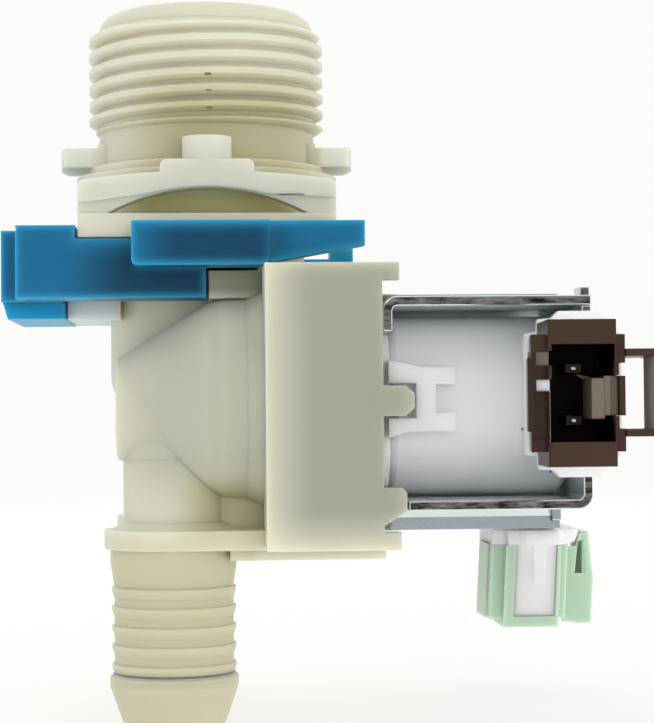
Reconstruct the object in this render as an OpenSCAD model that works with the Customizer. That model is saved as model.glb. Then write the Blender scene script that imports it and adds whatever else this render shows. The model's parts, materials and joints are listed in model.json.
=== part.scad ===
// Washing machine inlet valve: one threaded inlet, two solenoid outlets.
// +Z runs up the inlet, +X towards the coils, the front unit lies at -Y.
// The origin is on the inlet axis at the flange's panel seat. Millimetres.

/* [Inlet spigot] */
// Radius over the thread crests, G 3/4
thread_r = 13.15; // [12.7:0.05:13.25]
// Radius of the neck under the thread
neck_r = 12.05; // [11.4:0.05:12.4]
// Height of the rim over the panel seat
neck_h = 18.3; // [18:0.1:24]
// Radius that rounds the rim
rim_round = 2.0; // [0.5:0.1:2.2]
// Start of the thread over the panel seat
thread_z = 4.9; // [4:0.1:5.5]
// Length of the thread
thread_len = 11.5; // [8:0.1:12]
// Radius of the inlet bore
inlet_bore_r = 9.6; // [9:0.1:9.9]
// Height of the step that carries the flow regulator
regulator_z = 2.0; // [0.5:0.1:3]
// Radius of the collar that centres in the panel hole
collar_r = 13.3; // [13.2:0.05:13.8]
// Height of the collar, equal to the panel's thickness
collar_h = 1.0; // [0.8:0.1:1.5]
// Radius over the bayonet wings
wing_r = 16.3; // [15:0.1:17.5]
// Width of a bayonet wing
wing_w = 9; // [6:0.5:12]
// Thickness of a bayonet wing
wing_t = 2.55; // [2:0.05:2.8]

/* [Flange] */
// Radius of the round panel flange
disc_r = 14.55; // [14.3:0.05:14.8]
// Height of the head under the panel seat
head_t = 7.9; // [7:0.1:9]
// Width of the straight front plate
plate_w = 26.9; // [25:0.1:29]
// Distance of the plate's front edge from the inlet axis
plate_y = 18.5; // [18.2:0.1:19.5]
// Thickness of the front plate
plate_t = 2.5; // [2:0.1:3]
// Thickness of the springy arm, front to back
arm_d = 3.4; // [2.5:0.1:3.5]
// Depth of the arm's top under the panel seat, at its middle
arm_top = 1.0; // [0.5:0.1:1.2]
// Height of the arm's middle over its ends, on top
arm_rise = 1.0; // [0.6:0.1:1.8]
// Thickness of the arm at its middle
arm_t = 1.7; // [1.3:0.1:2.2]
// Half width of the gap under the arm
arm_gap_w = 10.5; // [9.5:0.1:11.5]
// Width of the pad on the arm
pad_w = 9.8; // [7:0.2:12]
// Height of the pad over the panel seat
pad_h = 0.2; // [0.1:0.1:0.8]
// Radius of the knob that drops into the panel
knob_r = 2.6; // [2:0.1:2.8]
// Height of the knob over the panel seat
knob_h = 2.75; // [2:0.05:4]

/* [Manifold] */
// Outer radius of the vertical manifold tube
tube_r = 10.9; // [10.2:0.1:11.3]
// Radius of the water space in the manifold
tube_bore_r = 8.4; // [7.5:0.1:8.8]
// Depth of the manifold tube under the panel seat
tube_depth = 27; // [25:0.5:29]
// Thickness of the manifold's floor
tube_floor = 2.2; // [1.5:0.1:3]
// Rounding of the manifold's lower end
tube_round = 5; // [3:0.5:6]
// Radius of the cross port from the manifold to the chambers
port_r = 3.1; // [2.5:0.1:3.2]
// Depth of the cross port under the panel seat
port_depth = 20.5; // [19:0.1:21.5]

/* [Chambers] */
// Distance of each unit's axis from the middle plane
unit_y = 16; // [15.6:0.1:17]
// Drop of the block's top under the head
block_drop = 3.6; // [3.4:0.1:4.5]
// How far the rear unit stands out beyond the front one
rear_shift = 2.4; // [0:0.1:4]
// How far the rear unit lies lower than the front one
rear_drop = 0.6; // [0:0.1:1]
// Width and height of a chamber block
block_w = 28.5; // [28:0.1:29.5]
// Start of the blocks along X
block_x = 5.6; // [5.2:0.1:6]
// Length of the front block along X
block_len = 11.6; // [11:0.1:13]
// Distance of the diaphragm seat from the block's open face
seat_depth = 7.9; // [7.6:0.1:8.4]
// Radius of the bore that holds the diaphragm and the bonnet
chamber_r = 12.2; // [12:0.05:12.6]
// Outer radius of the ring-shaped water space
ring_r = 10.4; // [9.8:0.1:10.8]
// Outer radius of the seat nozzle
lip_r = 5.6; // [5.2:0.1:6]
// Radius of the outlet duct from the seat to the barb
duct_r = 4.2; // [3.6:0.1:4.3]
// Radius of the bell where it meets the block
bell_r = 11.4; // [11:0.1:12]
// Radius of the bell at its shoulder
shoulder_r = 9.9; // [9.6:0.1:10.6]
// Radius of the elbow's blunt left end
nose_r = 5.3; // [5:0.05:5.6]
// Height of the bell's middle over the unit axis
bell_lift = 1.0; // [0:0.1:1.2]
// Radius of the water space in the bell
bell_bore_r = 8.4; // [7.8:0.1:8.6]

/* [Outlets] */
// Distance of the barb axes from the inlet axis, to the left
barb_x = 3.8; // [3.2:0.1:4.2]
// Radius of the elbow's downpipe
pipe_r = 5.2; // [5.0:0.05:5.8]
// Radius of the swelling at the elbow
elbow_r = 6.0; // [5.6:0.1:6.4]
// Depth of the outlet flange's top under the panel seat
foot_depth = 38.3; // [37.5:0.1:39]
// Thickness of the outlet flange
foot_t = 2.0; // [1.5:0.1:2.4]
// Radius of the outlet flange
foot_r = 7.2; // [6.9:0.1:8]
// Radius of the barb's crests
crest_r = 6.48; // [6.4:0.02:6.6]
// Radius between the crests
root_r = 6.22; // [5.9:0.02:6.3]
// Spacing of the crests
crest_pitch = 1.98; // [1.6:0.02:2.1]
// Radius of the end barb
end_r = 6.7; // [6.62:0.02:7]
// Length of the barb under the outlet flange
barb_len = 19.2; // [18.5:0.1:24]
// Thickness of the web between downpipe and block
web_t = 3.2; // [2:0.1:4]

/* [Lock slide] */
// Height of the slide's arms
slide_h = 6.2; // [5.5:0.1:6.4]
// Depth of an arm, front to back
slide_arm_d = 6.2; // [5:0.1:6.3]
// Length of the arms from the slide's left side
slide_len = 19.7; // [18:0.1:19.8]
// Length of the arms' thinner ends
slide_end = 5.5; // [4:0.1:6]
// Reach of the slide to the left of the inlet axis
slide_left = 19.9; // [19.4:0.1:21]
// Rise of the front bar over the head's underside
bar_rise = 1.25; // [0.8:0.05:1.6]
// Thickness of the front bar
bar_t = 3.4; // [2.5:0.1:4]
// Length of the front bar's thick part
bar_len = 14.1; // [12:0.1:14.5]
// Length of the front bar's thin end
bar_tip = 9.7; // [7:0.1:11]
// Gap between the slide and the body
slide_gap = 0.3; // [0.2:0.05:0.35]

/* [Coil] */
// Outer radius of the white coil cover
case_r = 9.35; // [9.3:0.05:9.7]
// Wall of the coil cover
case_t = 1.1; // [0.9:0.05:1.3]
// Chamfer of the coil cover's ends
case_cham = 0.9; // [0.6:0.1:1.2]
// Radius of the plunger
plunger_r = 3.2; // [3:0.05:3.3]
// Radial running clearance of the plunger in its tube
plunger_fit = 0.05; // [0.03:0.01:0.08]
// Wall of the guide tube
guide_t = 0.75; // [0.6:0.05:0.8]
// Wall of the steel flux sleeve
sleeve_t = 0.65; // [0.5:0.05:0.7]
// Length of the flux sleeve
sleeve_len = 7; // [5:0.5:9]
// Wall of the bobbin's core
bobbin_t = 0.6; // [0.5:0.05:0.7]
// Thickness of a bobbin flange
bobbin_flange = 0.9; // [0.7:0.1:1.2]
// Clearance between pieces that fit round each other
fit = 0.05; // [0.03:0.01:0.08]
// Travel of the plunger
lift = 3.0; // [2:0.1:3]

/* [Frame plates] */
// Thickness of the steel sheet
sheet_t = 1.0; // [0.9:0.05:1.3]
// Width of both plates
yoke_w = 27.2; // [26.4:0.1:28]
// Outer length of the frame along X
yoke_len = 20.9; // [20.6:0.1:22]
// Gap between the coil cover and the frame's top
top_gap = 0.55; // [0.3:0.05:0.8]
// Gap between the coil cover and the frame's bottom
bottom_gap = 0.1; // [0.05:0.05:0.3]
// Outer radius of the bends
bend_r = 1.5; // [1.4:0.1:2]
// Height of the staked tenons over the plate
stake_h = 0.9; // [0.3:0.1:1.2]

/* [Plug] */
// Left edge of the plug cap along X, at its mouth
cap_x = 30.3; // [30:0.1:30.8]
// Width of the plug cap along X
cap_w = 9.0; // [8.8:0.1:9.5]
// How far the cap's mouth leans to the left of its foot
cap_lean = 0.5; // [0:0.1:0.7]
// Height of the plug cap
cap_h = 11.1; // [10.8:0.05:11.5]
// Height over the cap's top and bottom blocks
cap_tall = 13.9; // [13.7:0.1:14.4]
// Width of the top and bottom blocks along X
cap_block_w = 6.5; // [6.3:0.1:7]
// Offset of the plug's middle over the unit axis
plug_z = 1.0; // [0:0.1:1.2]
// Distance of the cap's mouth from the unit axis
cap_out = 24.4; // [23:0.1:26]
// Distance of the cap's foot from the unit axis
cap_in = 15.7; // [15.2:0.1:16]
// Thickness of the cap's floor
cap_floor = 1.4; // [1:0.1:1.8]
// Width of the plug cavity along X
cavity_w = 6.0; // [5.8:0.1:6.2]
// Height of the plug cavity
cavity_h = 9.2; // [9:0.1:9.4]
// Reach of the latch loop beyond the cap
latch_w = 3.4; // [2.8:0.1:4]
// Spacing of the two contact blades
blade_pitch = 5.0; // [4.8:0.1:5.4]
// Thickness of a contact blade
blade_t = 0.8; // [0.6:0.1:0.9]
// Width of a contact blade
blade_w = 1.5; // [1.2:0.1:1.6]

/* [Hidden] */
$fn = 96;
e = 0.01;

// Ends of the chamber along X, for the front unit
face_x = block_x + block_len;
seat_x = face_x - seat_depth;
ring_x = block_x - 2.6;
port_x = seat_x - port_r - 0.2;
half = block_w / 2;
block_top = head_t + block_drop;
axis_depth = block_top + half;
// Pieces round the unit axis, from the middle outwards
guide_in = plunger_r + plunger_fit;
guide_out = guide_in + guide_t;
sleeve_in = guide_out + fit;
sleeve_out = sleeve_in + sleeve_t;
bobbin_in = sleeve_out + fit;
core_r = bobbin_in + bobbin_t;
case_in = case_r - case_t;
spool_r = case_in - fit;
winding_r = spool_r - 0.2;
// Diaphragm and bonnet
rim_t = 1.95;
rubber_t = 1.5;
insert_x = seat_x + rubber_t + fit;
insert_t = 0.95;
nub_h = 0.75;
nub_x = insert_x + insert_t + nub_h;
bonnet_x = seat_x + rim_t + fit;
roof_t = 2.0;
// Frame and coil along X
yoke_x = face_x + fit;
coil_x = yoke_x + sheet_t;
yoke_end = yoke_x + yoke_len;
leg_x = yoke_end - sheet_t;
coil_end = leg_x - fit;
yoke_top = case_r + top_gap + sheet_t;
yoke_bottom = case_r + bottom_gap + sheet_t;
spool_x = coil_x + 1.0;
spool_end = coil_end - 1.0;
// Plunger
seal_gap = 0.1;
seal_out = 0.45;
seal_r = 1.8;
plunger_x = nub_x + seal_gap + seal_out;
plunger_end = plunger_x + 17.2;
pocket_r = 2.4;
pocket_d = 6.5;
tube_in = plunger_end + lift + 0.2;
tube_end = tube_in + 0.8;
wire_r = 0.25;
coil_mean = 1.95;
spring_turns = 8;
// Plug
shroud_in = yoke_w / 2 + 0.3;
mouth_out = cap_out + 0.9;
floor_d = cap_in + cap_floor;
block_left = cap_x + 1.5;
cavity_x = cap_x + 1.85;
tongue_x = block_left + 1.3;
tongue_w = cap_block_w - 1.75;
tongue_z = cap_h / 2 + 0.2;
tongue_end = cap_out - 0.4;
blade_x = cavity_x + 2.8;
blade_z = -0.1;
blade_in = case_r + 1.2;
blade_out = cap_out - 3.4;

module xcyl(r, x0, x1) translate([x0, 0, 0]) rotate([0, 90, 0]) cylinder(r = r, h = x1 - x0);
module xrev(points) rotate([0, 90, 0]) rotate_extrude() polygon(points);
module box(x0, x1, y0, y1, z0, z1) translate([x0, y0, z0]) cube([x1 - x0, y1 - y0, z1 - z0]);
// Box placed by its distance outwards from the unit axis, towards the plug
module dbox(x0, x1, d0, d1, z0, z1) box(x0, x1, -d1, -d0, z0, z1);
// Outline drawn in X and in distance outwards, given its height
module plan(z0, z1) translate([0, 0, z0]) linear_extrude(z1 - z0) mirror([0, 1]) children();
module xz_extrude(y0, y1) translate([0, y1, 0]) rotate([90, 0, 0]) linear_extrude(y1 - y0) children();

// Unit 0 is the front one, unit 1 the rear one with its plug turned down
function axis_z(i) = -axis_depth - i * rear_drop;
module at_axis(i) translate([i * rear_shift, (2 * i - 1) * unit_y, axis_z(i)]) children();
module at_unit(i) at_axis(i) rotate([i * 90, 0, 0]) children();

// Solid of revolution about Z with its lower edge rounded
module round_bottom(r, top, bottom, round_r) {
    translate([0, 0, bottom + round_r]) cylinder(r = r, h = top - bottom - round_r);
    translate([0, 0, bottom]) cylinder(r = r - round_r, h = round_r + e);
    translate([0, 0, bottom + round_r]) rotate_extrude() translate([r - round_r, 0]) circle(round_r);
}

module spigot() {
    cham = 0.7;
    cylinder(r = neck_r, h = neck_h - rim_round);
    cylinder(r = neck_r - rim_round, h = neck_h);
    translate([0, 0, neck_h - rim_round]) rotate_extrude()
        translate([neck_r - rim_round, 0]) circle(rim_round);
    translate([0, 0, thread_z]) cylinder(r1 = neck_r, r2 = thread_r, h = cham);
    translate([0, 0, thread_z + cham]) cylinder(r = thread_r, h = thread_len - 2 * cham);
    translate([0, 0, thread_z + thread_len - cham]) cylinder(r1 = thread_r, r2 = neck_r, h = cham);
    cylinder(r = collar_r, h = collar_h);
    translate([0, 0, collar_h]) intersection() {
        cylinder(r = wing_r, h = wing_t);
        box(-wing_r, wing_r, -wing_w / 2, wing_w / 2, -1, wing_t + 1);
    }
}

// Springy arm: arched bar in front of the round flange, with pad and knob
module arm() {
    arc_in = (arm_gap_w * arm_gap_w) / (2 * gap_rise()) + gap_rise() / 2;
    arc_out = (plate_w * plate_w / 4) / (2 * arm_rise) + arm_rise / 2;
    foot = head_t - plate_t;
    xz_extrude(-plate_y, -plate_y + arm_d) difference() {
        intersection() {
            translate([-plate_w / 2, -foot - e]) square([plate_w, foot]);
            translate([0, -arm_top - arc_out]) circle(arc_out, $fn = 360);
        }
        translate([0, -arm_top - arm_t - arc_in]) circle(arc_in, $fn = 360);
    }
    box(-pad_w / 2, pad_w / 2, -plate_y, -plate_y + arm_d, -arm_top - arm_t / 2, pad_h);
    translate([0, knob_r - plate_y, pad_h - 0.2]) cylinder(r = knob_r, h = knob_h - pad_h + 0.2);
}
function gap_rise() = head_t - plate_t - arm_top - arm_t;

module head() {
    translate([0, 0, -head_t]) cylinder(r = disc_r, h = head_t);
    box(-plate_w / 2, plate_w / 2, -plate_y, 0, -head_t, plate_t - head_t);
    arm();
}

// Lug on the left that guides the slide
cross_w = 4.3;
lug_x = slide_left - cross_w - 0.4;
lug_top = head_t + 5.8;
lug_bottom = head_t + 8.1;
lug_half = tube_r - 2.9;
guide_half = tube_r - 5.9;
module guide_lug() {
    box(-lug_x, -tube_r + 1.4, -lug_half, lug_half, -lug_bottom, -lug_top);
    box(-slide_left - 0.7, -lug_x + e, -guide_half, guide_half, -lug_bottom + 0.95, -lug_bottom + 1.55);
}

// Shelf at the front that carries the slide's arm and stops it
slide_x = slide_len - slide_left;
shelf_top = block_top - 0.05;
module shelf() box(slide_x + slide_gap, block_x + 0.2, -plate_y + 0.1, -tube_r + 1.5,
    -shelf_top - 2.9, -shelf_top);

// Outside of one outlet, in place
nose_x = -barb_x - 5.75;
module outlet(i) {
    translate([0, (2 * i - 1) * unit_y, 0]) {
        translate([0, 0, axis_z(i) + bell_lift]) xrev([[0, nose_x], [nose_r - 1, nose_x],
            [shoulder_r, ring_x - 3.3], [shoulder_r + 0.5, ring_x - 1.5], [shoulder_r + 0.6, ring_x + 0.9],
            [bell_r, block_x], [bell_r, block_x + 0.3], [0, block_x + 0.3]]);
        translate([0, 0, axis_z(i)])
            xrev([[0, nose_x], [nose_r, nose_x], [shoulder_r - 2.2, ring_x - 4.8], [0, ring_x]]);
        translate([-barb_x, 0, axis_z(i) - 2.3]) sphere(elbow_r);
        translate([-barb_x, 0, -foot_depth]) cylinder(r = pipe_r, h = foot_depth + axis_z(i));
        translate([-barb_x, 0, -foot_depth - e]) cylinder(r1 = root_r + 0.3, r2 = pipe_r, h = 0.8);
        box(-barb_x, block_x + 0.3, -web_t / 2, web_t / 2, -foot_depth - e, axis_z(i) - 3);
        translate([-barb_x, 0, -foot_depth - foot_t]) cylinder(r = foot_r, h = foot_t);
        box(-barb_x, block_x + 0.3, -foot_r, foot_r, -foot_depth - foot_t, -foot_depth);
        translate([-barb_x, 0, -foot_depth - foot_t]) barb();
        box(crest_r - barb_x - 0.6, face_x + 0.8, -6, 6, axis_z(i) - half - 1.4, axis_z(i) - half + e);
    }
    at_axis(i) box(block_x - i * rear_shift, face_x, -half, half, -half, half);
    at_unit(i) hooks();
}

// Ribbed hose barb, hanging down from its flange
neck_len = 1.5;
barb_top = 4.0;
end_land = 1.0;
land_at = barb_top + crest_pitch * (crest_count() - 1) + 1.4;
function crest_count() = floor((barb_len - barb_top - 5.2) / crest_pitch);
module barb() {
    crests = [for (k = [0 : crest_count() - 1]) each [
        [crest_r, -barb_top - k * crest_pitch],
        [crest_r, -barb_top - k * crest_pitch - 0.35],
        [root_r, -barb_top - (k + 0.55) * crest_pitch],
        [root_r, -barb_top - (k + 1) * crest_pitch + e]]];
    tip_r = root_r - 0.8;
    rotate_extrude() polygon(concat([[0, 0.5], [crest_r + 0.12, 0.5], [crest_r + 0.12, -neck_len],
        [root_r, -barb_top + e]], crests,
        [[root_r, -land_at + 0.5], [end_r, -land_at], [end_r, -land_at - end_land],
        [tip_r, -barb_len + 1.2], [tip_r - 0.5, -barb_len], [0, -barb_len]]));
}

// Tongues, tabs and corner nubs on a block's open face
hook_t = 1.4;
tongue_len = 3.1;
nub_w = 1.75;
tab_z = -8.1;
module hooks() {
    for (s = [-1, 1]) {
        y0 = s < 0 ? -half : half - hook_t;
        xz_extrude(y0, y0 + hook_t) {
            polygon([[face_x - e, -1.0], [face_x + tongue_len - 0.9, -1.0], [face_x + tongue_len, -0.2],
                [face_x + tongue_len, 1.2], [face_x + tongue_len - 0.9, 2.0], [face_x - e, 2.0]]);
            polygon([[face_x - e, tab_z], [face_x + 1.8, tab_z], [face_x + 2.25, tab_z - 0.5],
                [face_x + 2.25, tab_z - 2.3], [face_x - e, tab_z - 3.75]]);
        }
        for (t = [-1, 1]) {
            c = half - nub_w;
            box(face_x - e, face_x + 1.7, s < 0 ? -half : c, s < 0 ? -c : half,
                t < 0 ? -half : c, t < 0 ? -c : half);
        }
    }
}

// Water space of one unit, cut from the body
module water(i) {
    at_axis(i) {
        xcyl(chamber_r, seat_x, face_x + 1);
        difference() {
            union() {
                xcyl(ring_r, block_x + 0.4 - i * rear_shift, seat_x + e);
                translate([0, 0, bell_lift]) xcyl(bell_bore_r, ring_x - i * rear_shift, seat_x);
            }
            xcyl(lip_r, ring_x - 5, seat_x + 1);
        }
        xcyl(duct_r, -barb_x - i * rear_shift, seat_x + 1);
        translate([-barb_x - i * rear_shift, 0, 0]) sphere(duct_r);
    }
    translate([-barb_x, (2 * i - 1) * unit_y, -foot_depth - foot_t - barb_len - 1])
        cylinder(r = duct_r, h = foot_depth + foot_t + barb_len + 1 + axis_z(i));
}

module valve_body() color("ivory") difference() {
    union() {
        spigot();
        head();
        round_bottom(tube_r, -head_t + 1, -tube_depth, tube_round);
        translate([port_x, -unit_y + 4, -port_depth]) rotate([-90, 0, 0])
            cylinder(r = port_r + 2.4, h = 2 * unit_y - 8);
        guide_lug();
        shelf();
        outlet(0);
        outlet(1);
    }
    translate([0, 0, regulator_z]) cylinder(r = inlet_bore_r, h = neck_h);
    round_bottom(tube_bore_r, regulator_z + 1, -tube_depth + tube_floor, tube_round - tube_floor);
    translate([port_x, -unit_y + lip_r + 1.5, -port_depth]) rotate([-90, 0, 0])
        cylinder(r = port_r, h = 2 * (unit_y - lip_r - 1.5));
    water(0);
    water(1);
}

// Blue fork: two arms joined at the left, with a bar in front
slide_top = head_t + 0.15;
arm_in = plate_y - slide_arm_d;
bar_top = head_t - bar_rise;
bar_bottom = block_top - slide_gap;
end_bottom = shelf_top - slide_gap;
bar_y = plate_y + 1.7;
bar_x = -7.75;
bar_end = bar_x + bar_len;
bar_round = 0.6;
cross_in = slide_left - cross_w;
rib_half = arm_in - 0.3;
hook_half = arm_in - 2.3;
tip_end = face_x + 0.1;
module slide_arm() {
    box(-slide_left, slide_x, -plate_y, -arm_in, -slide_top - slide_h, -slide_top);
    box(-slide_left, -plate_w / 2 - slide_gap, -plate_y, -arm_in, -slide_top - 1, -bar_top);
    box(slide_x - e, slide_x + slide_end, -plate_y, -arm_in, -end_bottom, -slide_top);
}
module slide_hook() {
    hook_top = slide_top + slide_h - e;
    difference() {
        xz_extrude(-hook_half, hook_half) polygon([[-slide_left - 2.1, -hook_top],
            [-cross_in + 0.2, -hook_top], [-cross_in + 0.2, -lug_bottom], [-slide_left - 1.6, -lug_bottom]]);
        box(-slide_left - 3, -lug_x + 1, -guide_half - slide_gap, guide_half + slide_gap,
            -lug_bottom + 0.7, -lug_bottom + 1.8);
    }
}
module bar_profile() difference() {
    translate([bar_x, -bar_bottom]) square([bar_len, bar_bottom - bar_top]);
    for (c = [[bar_x, -bar_bottom, 1], [bar_end, -bar_bottom, -1]])
        translate([c[0], c[1]]) difference() {
            square(bar_round * 2, center = true);
            translate([c[2] * bar_round, bar_round]) circle(bar_round);
        }
}
module lock_slide() color("steelblue") {
    slide_arm();
    mirror([0, 1, 0]) slide_arm();
    box(-slide_left, -cross_in, -plate_y, plate_y, -slide_top - slide_h, -bar_top);
    box(-slide_left - 2.1, -slide_left + e, -rib_half, rib_half, -slide_top - slide_h, -bar_top);
    slide_hook();
    // Front bar on its link
    box(bar_x + 0.4, slide_x + slide_end - 0.2, -bar_y - e, -plate_y + e, -bar_bottom + 0.3, -slide_top);
    xz_extrude(-bar_y - bar_t, -bar_y) bar_profile();
    xz_extrude(-bar_y - bar_t, -bar_y - 0.8) polygon([[bar_end - e, -bar_top - 0.05],
        [bar_end + bar_tip, -bar_top - 0.05], [bar_end + bar_tip, -bar_top - 2.6],
        [bar_end - e, -bar_bottom + 0.2]]);
    // Rear arm's long tip over the rear block
    box(slide_x + slide_end - e, tip_end, arm_in, arm_in + 3.7, -slide_top - 1.5, -slide_top);
    box(tip_end - 2.75, tip_end, arm_in, arm_in + 3.7, -slide_top - 0.5, -bar_top - 0.15);
}

// Sieve cup in the spigot
sieve_top = neck_h - 2.2;
sieve_h = 8.2;
sieve_r = inlet_bore_r - 1.4;
module inlet_strainer() color("whitesmoke") difference() {
    union() {
        translate([0, 0, sieve_top - 2.2]) cylinder(r = inlet_bore_r - 0.1, h = 2.2);
        translate([0, 0, sieve_top - sieve_h]) cylinder(r = sieve_r, h = sieve_h);
    }
    translate([0, 0, sieve_top - sieve_h + 0.8]) cylinder(r = sieve_r - 0.8, h = sieve_h);
    for (a = [0 : 15]) rotate(a * 22.5)
        box(sieve_r - 2, sieve_r + 1, -1.1, 1.1, sieve_top - sieve_h + 1.2, sieve_top - 2.8);
    for (k = [-3 : 3]) box(-sqrt(pow(sieve_r - 1.6, 2) - 4 * k * k), sqrt(pow(sieve_r - 1.6, 2) - 4 * k * k),
        2 * k - 0.6, 2 * k + 0.6, sieve_top - sieve_h - 1, sieve_top - sieve_h + 2);
}

// Holder of the flow regulator, on the step in the bore
seat_r = inlet_bore_r - 0.1;
seat_h = 4.4;
seat_floor = 1.4;
module regulator_seat() color("gainsboro") translate([0, 0, regulator_z]) {
    difference() {
        cylinder(r = seat_r, h = seat_h);
        translate([0, 0, seat_floor]) cylinder(r = seat_r - 0.9, h = seat_h);
        difference() {
            translate([0, 0, -1]) cylinder(r = tube_bore_r - 3.4, h = seat_h);
            cylinder(r = 1.2, h = seat_h);
            for (a = [0 : 2]) rotate(a * 120) box(0, tube_bore_r - 3, -0.6, 0.6, 0, seat_floor);
        }
    }
    cylinder(r = 1.2, h = seat_h - 0.5);
}
module flow_regulator() color("dimgray") translate([0, 0, regulator_z + seat_floor]) difference() {
    cylinder(r = seat_r - 1.1, h = 2.6);
    translate([0, 0, -1]) cylinder(r = 2.2, h = 5);
}

// Inner pieces of one unit, in its own frame
module diaphragm() color("black") xrev([[2.1, seat_x], [6.2, seat_x], [6.6, seat_x + 0.5],
    [ring_r - 0.8, seat_x + 0.5], [ring_r - 0.1, seat_x], [chamber_r - fit, seat_x],
    [chamber_r - fit, seat_x + rim_t], [ring_r - 0.4, seat_x + rim_t], [ring_r - 0.8, seat_x + 1.3],
    [6.6, seat_x + 1.3], [6.2, seat_x + rubber_t], [2.1, seat_x + rubber_t]]);
module diaphragm_insert() color("beige") xrev([[0.5, seat_x - 1.4], [2.3, seat_x - 1.4],
    [2.7, seat_x - 0.9], [2.7, seat_x - fit], [2.05, seat_x - fit], [2.05, insert_x],
    [5.4, insert_x], [5.4, insert_x + insert_t], [1.4, insert_x + insert_t], [1.1, nub_x], [0.5, nub_x]]);
module bonnet() color("whitesmoke") xrev([[ring_r - 0.8, bonnet_x], [chamber_r - 0.1, bonnet_x],
    [chamber_r - 0.1, face_x], [guide_out, face_x], [guide_out, tube_end], [0, tube_end],
    [0, tube_in], [guide_in, tube_in], [guide_in, face_x - roof_t], [ring_r - 0.8, face_x - roof_t]]);
module plunger() color("silver") difference() {
    xrev([[0, plunger_x], [plunger_r - 0.4, plunger_x], [plunger_r, plunger_x + 0.4],
        [plunger_r, plunger_end - 0.4], [plunger_r - 0.4, plunger_end], [0, plunger_end]]);
    xcyl(seal_r + fit, plunger_x - 1, plunger_x + 1.3);
    xcyl(pocket_r, plunger_end - pocket_d, plunger_end + 1);
}
module plunger_seal() color("black") xcyl(seal_r, plunger_x - seal_out, plunger_x + 1.25);

// Helical wire, swept ring by ring
function ring_point(a, s, x) = let (r = coil_mean + wire_r * cos(s))
    [x + wire_r * sin(s), r * cos(a), r * sin(a)];
module spring() {
    steps = 12;
    sides = 8;
    x0 = plunger_end - pocket_d + wire_r + 0.02;
    x1 = tube_in - wire_r - 0.02;
    n = spring_turns * steps;
    pts = [for (k = [0 : n]) for (j = [0 : sides - 1])
        ring_point(k * 360 / steps, j * 360 / sides, x0 + (x1 - x0) * k / n)];
    faces = concat([[for (j = [0 : sides - 1]) j]],
        [for (k = [0 : n - 1]) for (j = [0 : sides - 1])
            [k * sides + j, (k + 1) * sides + j, (k + 1) * sides + (j + 1) % sides,
                k * sides + (j + 1) % sides]],
        [[for (j = [sides - 1 : -1 : 0]) n * sides + j]]);
    color("silver") polyhedron(pts, faces);
}

module flux_sleeve() color("darkgray") difference() {
    xcyl(sleeve_out, yoke_x + fit, yoke_x + sheet_t + sleeve_len);
    xcyl(sleeve_in, yoke_x - 1, yoke_x + sheet_t + sleeve_len + 1);
}
module bobbin() color("beige") difference() {
    union() {
        xcyl(core_r, spool_x, spool_end);
        xcyl(spool_r, spool_x, spool_x + bobbin_flange);
        xcyl(spool_r, spool_end - bobbin_flange, spool_end);
    }
    xcyl(bobbin_in, spool_x - 1, spool_end + 1);
}
module winding() color("peru") difference() {
    xcyl(winding_r, spool_x + bobbin_flange + fit, spool_end - bobbin_flange - fit);
    xcyl(core_r + fit, spool_x, spool_end);
}

// White coil cover with the plug's shroud, its two tongues and the snap fork
shroud_x = cap_x + 0.5;
shroud_end = cap_x + 10.6;
shroud_h = 6.0;
module coil_case() color("white") difference() {
    union() {
        xrev([[0, coil_x], [case_r - case_cham, coil_x], [case_r, coil_x + case_cham],
            [case_r, coil_end - case_cham], [case_r - case_cham, coil_end], [0, coil_end]]);
        dbox(shroud_x + 1.2, coil_end - 0.1, 4, shroud_in + e, plug_z - shroud_h, plug_z + shroud_h);
        translate([0, 0, plug_z]) shroud();
        fork();
    }
    xcyl(bobbin_in, coil_x - 1, coil_end - 1);
    xcyl(case_in, coil_x + 0.95, coil_end - 0.95);
    for (s = [-1, 1]) translate([blade_x, 0, plug_z + blade_z + s * blade_pitch / 2])
        dbox(-blade_w / 2 - fit, blade_w / 2 + fit, blade_in - fit, cap_in + 1,
            -blade_t / 2 - fit, blade_t / 2 + fit);
}
module shroud() {
    rim = [[shroud_x, shroud_h], [shroud_x + 1.6, shroud_h + 0.2], [shroud_x + 1.7, shroud_h + 1.4],
        [shroud_x + 3.0, shroud_h + 1.5], [shroud_x + 3.7, shroud_h + 2.2], [shroud_x + 7.6, shroud_h + 2.2],
        [shroud_end, shroud_h]];
    below = [for (k = [len(rim) - 1 : -1 : 0]) [rim[k][0], -rim[k][1]]];
    intersection() {
        xz_extrude(-cap_in + fit, -shroud_in) polygon(concat(rim, below));
        plan(-shroud_h - 3, shroud_h + 3) polygon([[shroud_x, 0], [shroud_end, 0],
            [shroud_end, shroud_in + 0.6], [shroud_end - 0.5, cap_in - 0.3], [shroud_end - 2.2, cap_in],
            [shroud_x, cap_in]]);
    }
    // Tongues in the windows of the cap's blocks
    for (s = [-1, 1]) mirror([0, 0, s < 0 ? 1 : 0]) {
        plan(tongue_z, cap_tall / 2 - 0.1) tongue_outline(0);
        dbox(tongue_x + tongue_w / 2, tongue_x + tongue_w / 2 + 1.5, cap_in - 1, cap_out - 4.2,
            cap_tall / 2 - 0.2, cap_tall / 2 + 0.2);
    }
}
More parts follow.
